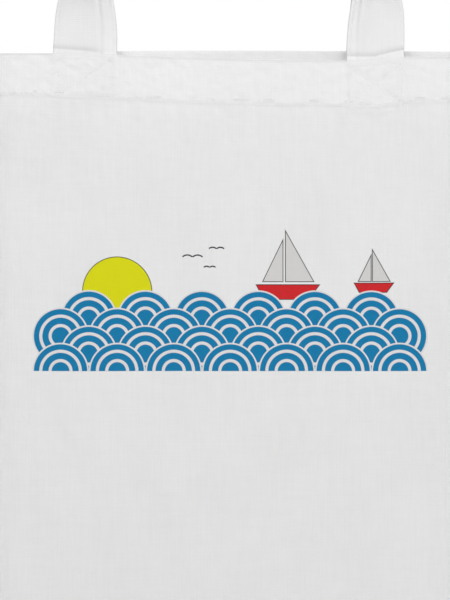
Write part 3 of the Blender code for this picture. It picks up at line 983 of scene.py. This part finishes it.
def strap_points(side, across, through):
    """Points of a strap for offsets across it (inwards is positive) and through it (towards the front)."""
    x, z, length, inward = strap_line(side)
    top_z = z.max()
    root_z = MOUTH_Z - (FRONT_DROP if side < 0 else 0)
    lean = np.clip((top_z - z) / (top_z - root_z), 0, 1)
    middle = np.stack([x, strap_y(side) * lean, z], axis=-1)
    tangent = np.gradient(middle, axis=0)
    tangent /= np.linalg.norm(tangent, axis=1, keepdims=True)
    turn = math.pi / 2 * (1 - (1 - np.clip(length / TWIST_LENGTH, 0, 1)) ** 2)
    turn = turn * np.sqrt(np.clip(length / TWIST_START, 0, 1))  # it starts softly, out of the hem
    sideways = np.stack([inward[:, 0] * np.cos(turn), -np.sin(turn), inward[:, 1] * np.cos(turn)], axis=-1)
    normal = np.cross(sideways, tangent)
    normal /= np.linalg.norm(normal, axis=1, keepdims=True)
    above = length[:, None]
    across = np.broadcast_to(across, (len(x), np.shape(across)[-1]))
    through = np.broadcast_to(through, across.shape)
    left = (np.arange(len(x)) < len(x) // 2)[:, None]
    near_root = 1 - ease(above / TWIST_LENGTH)
    bow = np.where(left, *BOWS) * bell((above - BOW_MIDDLE) / BOW_REACH) * ease(above / (12 * MM))
    middle[:, 0] += (np.where(left, -1, 1) * (ROOT_SHIFTS[side] * near_root + bow))[:, 0]
    seed = 60 if side < 0 else 80
    out_of_hem, crease = crease_place(side, across)
    strength = 0.4 + 0.6 * np.clip(crease / (3.0 * MM), 0, 1)
    past = np.clip(out_of_hem - crease, 0, None)
    wedge = -CREASE_SLOPE * np.clip(out_of_hem, 0, crease)
    swell = CREASE_SWELL * (1 - np.exp(-past / (3.5 * MM))) * np.exp(-past / (28 * MM)) * strength
    dent = np.where(out_of_hem < crease, wedge, swell - CREASE_SLOPE * crease * np.exp(-past / (2.2 * MM)))
    run = np.where(left, above, 2 * above.max() - above)  # from one root to the other
    wave = 0.5 * MM * ripples(seed, run, across, 70 * MM, 60 * MM) * ease(above / (25 * MM))
    crumple = 0.12 * MM * ripples(seed + 1, run, across, 14 * MM, 16 * MM, 15)
    out = through + (dent * -side + wave + crumple * ease(above / (4 * MM)))
    leg = np.where(left, *LEG_WIDTHS) * (BACK_LEG_WIDTH if side > 0 else 1)
    across = across * (1 + (leg - 1) * near_root)
    points = middle[:, None, :] + across[..., None] * sideways[:, None, :] + out[..., None] * normal[:, None, :]
    below = np.clip(root_z - points[..., 2], 0, None)
    wall = wall_points(side, points[..., 0], below, 0)[..., 1] - side * MOUTH_HALF_GAP
    points[..., 1] += wall * (1 - ease(above / (12 * MM)))
    return points


# %% The straps
def folded_edge(side, across):
    """1 on the folded edge along the inner side of a strap, 0 on the rest of it."""
    strip = fold_strip(strap_line(side)[0])[:, None]
    return ease((strip - (STRAP_WIDTH / 2 - across)) / (1.2 * MM) + 0.5)


def strap_face(side, across):
    """The height of a strap's outer face over its even thickness: the folded edge, its line and the stitch grooves."""
    strip = fold_strip(strap_line(side)[0])[:, None]
    from_inner = STRAP_WIDTH / 2 - across
    line = -0.5 * MM * bell((from_inner - strip - 0.9 * MM) / (1.0 * MM))
    grooves = -0.15 * MM * bell((np.abs(across) - STRAP_WIDTH / 2 + 2.2 * MM) / (0.6 * MM))
    return 0.4 * MM * folded_edge(side, across) + line + grooves


def make_strap(word, side):
    across = STRAP_WIDTH / 2 * np.sin(math.pi / 2 * np.linspace(-1, 1, 41))
    corner = STRAP_THICKNESS / 2
    past = np.clip((np.abs(across) - (STRAP_WIDTH / 2 - corner)) / corner, 0, 1)
    round_edge = np.sqrt(1 - past**2)
    length = strap_line(side)[2]
    outer = (corner + strap_face(side, across)) * round_edge
    inner = np.tile(-corner * round_edge, (len(length), 1))
    ring_across = np.concatenate([across, across[-2:0:-1]])
    ring_through = np.concatenate([outer, inner[:, -2:0:-1]], axis=1) * -side
    points = strap_points(side, ring_across[None, :], ring_through)
    run = np.concatenate([[0], np.cumsum(np.abs(np.diff(length)))])[:, None]
    ring = np.concatenate([ring_across, ring_across[:1]])
    turned = np.concatenate([across, 2 * across[-1] - across[-2::-1]])
    uvs = np.stack(np.broadcast_arrays(turned[None, : len(ring)], run), axis=-1)
    mesh = mesh_of(f"{word}_strap", points, uvs, wrap=True)
    outer_face = np.arange(len(ring_across)) < len(across)
    out_of_hem, crease = crease_place(side, ring_across[None, :])
    # Painted highlight: the wedge between the hem and the crease is painted lighter, through the folded_edge attribute.
    wedge = ease((crease - out_of_hem) / (0.8 * MM) + 0.5) * 0.4
    # Painted shade: a band just above the crease is painted darker, through the crease attribute.
    shade = ease((out_of_hem - crease) / (0.8 * MM) + 0.5) * bell(np.clip(out_of_hem - crease, 0, None) / (2.2 * MM))
    shade = shade * ease(crease / (1.5 * MM)) * 0.6
    for attribute, amount in (("folded_edge", np.maximum(folded_edge(side, ring_across), wedge)), ("crease", shade)):
        values = (amount * outer_face).ravel()
        mesh.attributes.new(attribute, "FLOAT", "POINT").data.foreach_set("value", values)
    stands_for = [f"{word}_handle", f"{word}_strap_end_left", f"{word}_strap_end_right"]
    return place_piece(f"{word}_strap", mesh, strap_cotton, stands_for)


def bend_at_root(piece):
    """Bakes a strap piece's placement into its mesh."""
    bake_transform(piece)


straps = {word: make_strap(word, side) for word, side in SIDES.items()}
for word, side in SIDES.items():
    bend_at_root(straps[word])

# %% [markdown]
# A stitch is a short bead of thread, repeated along a line: work for Geometry Nodes. The line is a curve that
# follows the cloth. Curve to Points walks along it in stitch lengths, a small ellipsoid is instanced on each
# point and turned to the curve's tangent, and the instances are realized, because an exported model keeps
# only real meshes. Each bead has 36 faces, since there are thousands.

# %% The stitch tree
STITCH_PITCH = 3.1 * MM
STITCH_LENGTH = 2.5 * MM
THREAD_WIDTH = 0.36 * MM

stitch_tree = bpy.data.node_groups.new("stitch_row", "GeometryNodeTree")
stitch_tree.interface.new_socket("Line", in_out="INPUT", socket_type="NodeSocketGeometry")
stitch_sizes = {
    name: stitch_tree.interface.new_socket(name, in_out="INPUT", socket_type="NodeSocketFloat").identifier
    for name in ("Pitch", "Length", "Width")
}
thread_input = stitch_tree.interface.new_socket("Thread", in_out="INPUT", socket_type="NodeSocketMaterial").identifier
stitch_tree.interface.new_socket("Stitches", in_out="OUTPUT", socket_type="NodeSocketGeometry")

given = add(stitch_tree, "NodeGroupInput")
steps = add(
    stitch_tree,
    "GeometryNodeCurveToPoints",
    {"Curve": given.outputs["Line"], "Length": given.outputs["Pitch"]},
    mode="LENGTH",
)
bead = add(stitch_tree, "GeometryNodeMeshUVSphere", {"Segments": 6, "Rings": 4, "Radius": 0.5})
turned = add(
    stitch_tree, "FunctionNodeAlignRotationToVector", {"Vector": steps.outputs["Tangent"]}, axis="Z"
)
bead_size = add(
    stitch_tree,
    "ShaderNodeCombineXYZ",
    {0: given.outputs["Width"], 1: given.outputs["Width"], 2: given.outputs["Length"]},
)
beads = add(
    stitch_tree,
    "GeometryNodeInstanceOnPoints",
    {
        "Points": steps.outputs["Points"],
        "Instance": bead.outputs["Mesh"],
        "Rotation": turned.outputs[0],
        "Scale": bead_size.outputs[0],
    },
)
real = add(stitch_tree, "GeometryNodeRealizeInstances", {0: beads.outputs[0]})
smooth = add(stitch_tree, "GeometryNodeSetShadeSmooth", {0: real.outputs[0]})
dyed = add(stitch_tree, "GeometryNodeSetMaterial", {0: smooth.outputs[0], "Material": given.outputs["Thread"]})
add(stitch_tree, "NodeGroupOutput", {0: dyed.outputs[0]})


def sew(name, rows, width=THREAD_WIDTH):
    """A mesh of stitches along rows of points."""
    curve = bpy.data.curves.new(name + "_line", "CURVE")
    curve.dimensions = "3D"
    for row in rows:
        spline = curve.splines.new("POLY")
        spline.points.add(len(row) - 1)
        flat = np.concatenate([row, np.ones((len(row), 1))], axis=1)
        spline.points.foreach_set("co", flat.astype(np.float32).ravel())
    line = bpy.data.objects.new(name + "_line", curve)
    bpy.context.scene.collection.objects.link(line)
    modifier = line.modifiers.new("stitches", "NODES")
    modifier.node_group = stitch_tree
    modifier[stitch_sizes["Pitch"]] = STITCH_PITCH
    modifier[stitch_sizes["Length"]] = STITCH_LENGTH
    modifier[stitch_sizes["Width"]] = width
    modifier[thread_input] = sewing_thread
    graph = bpy.context.evaluated_depsgraph_get()
    mesh = bpy.data.meshes.new_from_object(line.evaluated_get(graph))
    bpy.data.objects.remove(line)
    bpy.data.curves.remove(curve)
    return mesh


# %% [markdown]
# The hems are sewn with one row just above the step. Every strap end has a box with a cross in it, which is
# how a handle is made to bear weight. The seams have a row down each edge, and the straps one along each side.

# %% Stitches on the bag
ROW_POINTS = 400
PATCH_CORNERS = ((-1, BOX_TOP), (1, BOX_TOP), (1, STITCH_LINE), (-1, STITCH_LINE))
BOX_LINES = ((0, 1), (1, 2), (3, 0), (0, 2), (3, 1))  # the hem's own row closes the box below


def hem_rows(side):
    x = np.linspace(-HALF_WIDTH + 2 * MM, HALF_WIDTH - 2 * MM, ROW_POINTS)
    rows = [hem_points(side, x, np.full(ROW_POINTS, STITCH_LINE), 0.06 * MM)]
    share = np.linspace(0, 1, 12)[:, None]
    for hand in HANDS.values():
        for corners in BOX_LINES:
            ends = [
                np.array((hand * (STRAP_X + ROOT_SHIFTS[side]) + PATCH_CORNERS[i][0] * BOX_HALF_WIDTH, PATCH_CORNERS[i][1]))
                for i in corners
            ]
            line = ends[0] + (ends[1] - ends[0]) * share
            rows.append(hem_points(side, line[:, 0], line[:, 1], 0.05 * MM))
    return rows


def seam_rows():
    rows = []
    z = np.linspace(SEAM_TOP - 6 * MM, BOTTOM_Z + SEAM_WIDTH, ROW_POINTS)
    x = np.linspace(-HALF_WIDTH + 4 * MM, HALF_WIDTH - 4 * MM, ROW_POINTS)
    through = SEAM_THICKNESS / 2 + 0.12 * MM
    for side in SIDES.values():
        for hand in HANDS.values():
            line = np.stack([0 * z + hand * (INNER_HALF_WIDTH + 2.6 * MM), 0 * z + side * through, z], axis=-1)
            rows.append(seam_points(line))
        rows.append(seam_points(np.stack([x, 0 * x + side * through, 0 * x + BOTTOM_Z + 5.4 * MM], axis=-1)))
    return rows


for word, side in SIDES.items():
    place_piece(f"{word}_hem_stitches", sew(f"{word}_hem", hem_rows(side)), sewing_thread, body="bag")
place_piece("seam_stitches", sew("seams", seam_rows()), sewing_thread, body="bag")


# %% Stitches on the straps
def strap_rows(side):
    """Two rows on each face of a strap, 2.2 mm from its edges."""
    across = np.array([-1.0, 1.0]) * (STRAP_WIDTH / 2 - 2.2 * MM)
    rows = []
    for facing in (1, -1):
        height = STRAP_THICKNESS / 2 + strap_face(side, across) * (facing == 1)
        points = strap_points(side, across[None, :], (height + 0.03 * MM) * facing * -side)
        rows += [points[:, 0], points[:, 1]]
    return rows


for word, side in SIDES.items():
    thread = place_piece(f"{word}_strap_stitches", sew(f"{word}_strap", strap_rows(side)), sewing_thread)
    bend_at_root(thread)

# %% [markdown]

# %% [markdown]
# The light is a bright white room. A wide lamp from the front keeps the cloth nearly even, a second one from
# above makes its lower part a shade darker, and one from behind shines through the thin cloth at the mouth.
# The sky that the camera sees is plain white. The floor is plain and pale, well below the hanging bag.

# %% Room, lights and floor
FLOOR_Z = BOTTOM_Z - 0.12
ROOM_LIGHT = 0.3

world = bpy.data.worlds.new("white_room")
bpy.context.scene.world = world
world.use_nodes = True
sky = world.node_tree
sky.nodes.clear()
seen = add(sky, "ShaderNodeBackground", {"Color": (1, 1, 1, 1), "Strength": 1.0})
lit = add(sky, "ShaderNodeBackground", {"Color": (1, 1, 1, 1), "Strength": ROOM_LIGHT})
ray = add(sky, "ShaderNodeLightPath")
either = add(
    sky, "ShaderNodeMixShader", {0: ray.outputs["Is Camera Ray"], 1: lit.outputs[0], 2: seen.outputs[0]}
)
add(sky, "ShaderNodeOutputWorld", {0: either.outputs[0]})


def soft_light(name, place, aim, size, power):
    """A large square lamp that points at aim and doesn't show itself."""
    lamp = bpy.data.lights.new(name, "AREA")
    lamp.shape = "SQUARE"
    lamp.size = size
    lamp.energy = power
    holder = bpy.data.objects.new(name, lamp)
    holder.location = place
    holder.rotation_euler = (Vector(aim) - Vector(place)).to_track_quat("-Z", "Y").to_euler()
    holder.visible_camera = False
    bpy.context.scene.collection.objects.link(holder)
    return holder


MIDDLE = Vector((0, 0, (MOUTH_Z + BOTTOM_Z) / 2))
soft_light("key_light", (0.08, -1.45, 1.15), MIDDLE, 1.4, 13.7)
soft_light("front_fill", (0.0, -3.3, 0.3), MIDDLE, 1.2, 46)
soft_light("back_light", (0.6, 1.7, 1.1), MIDDLE, 1.4, 50)

floor_mesh = bpy.data.meshes.new("floor")
floor_shape = bmesh.new()
bmesh.ops.create_circle(floor_shape, cap_ends=True, segments=96, radius=60)
floor_shape.to_mesh(floor_mesh)
floor_shape.free()
floor_mesh.transform(Matrix.Translation((0, 0, FLOOR_Z)))
floor = bpy.data.objects.new("floor", floor_mesh)
bpy.context.scene.collection.objects.link(floor)
pale = bpy.data.materials.new("matt_pale_paper")
pale.use_nodes = True
pale.node_tree.nodes["Principled BSDF"].inputs["Base Color"].default_value = linear("#cfcfcf")
pale.node_tree.nodes["Principled BSDF"].inputs["Roughness"].default_value = 0.9
floor_mesh.materials.append(pale)
bpy.context.scene.view_settings.view_transform = "Standard"
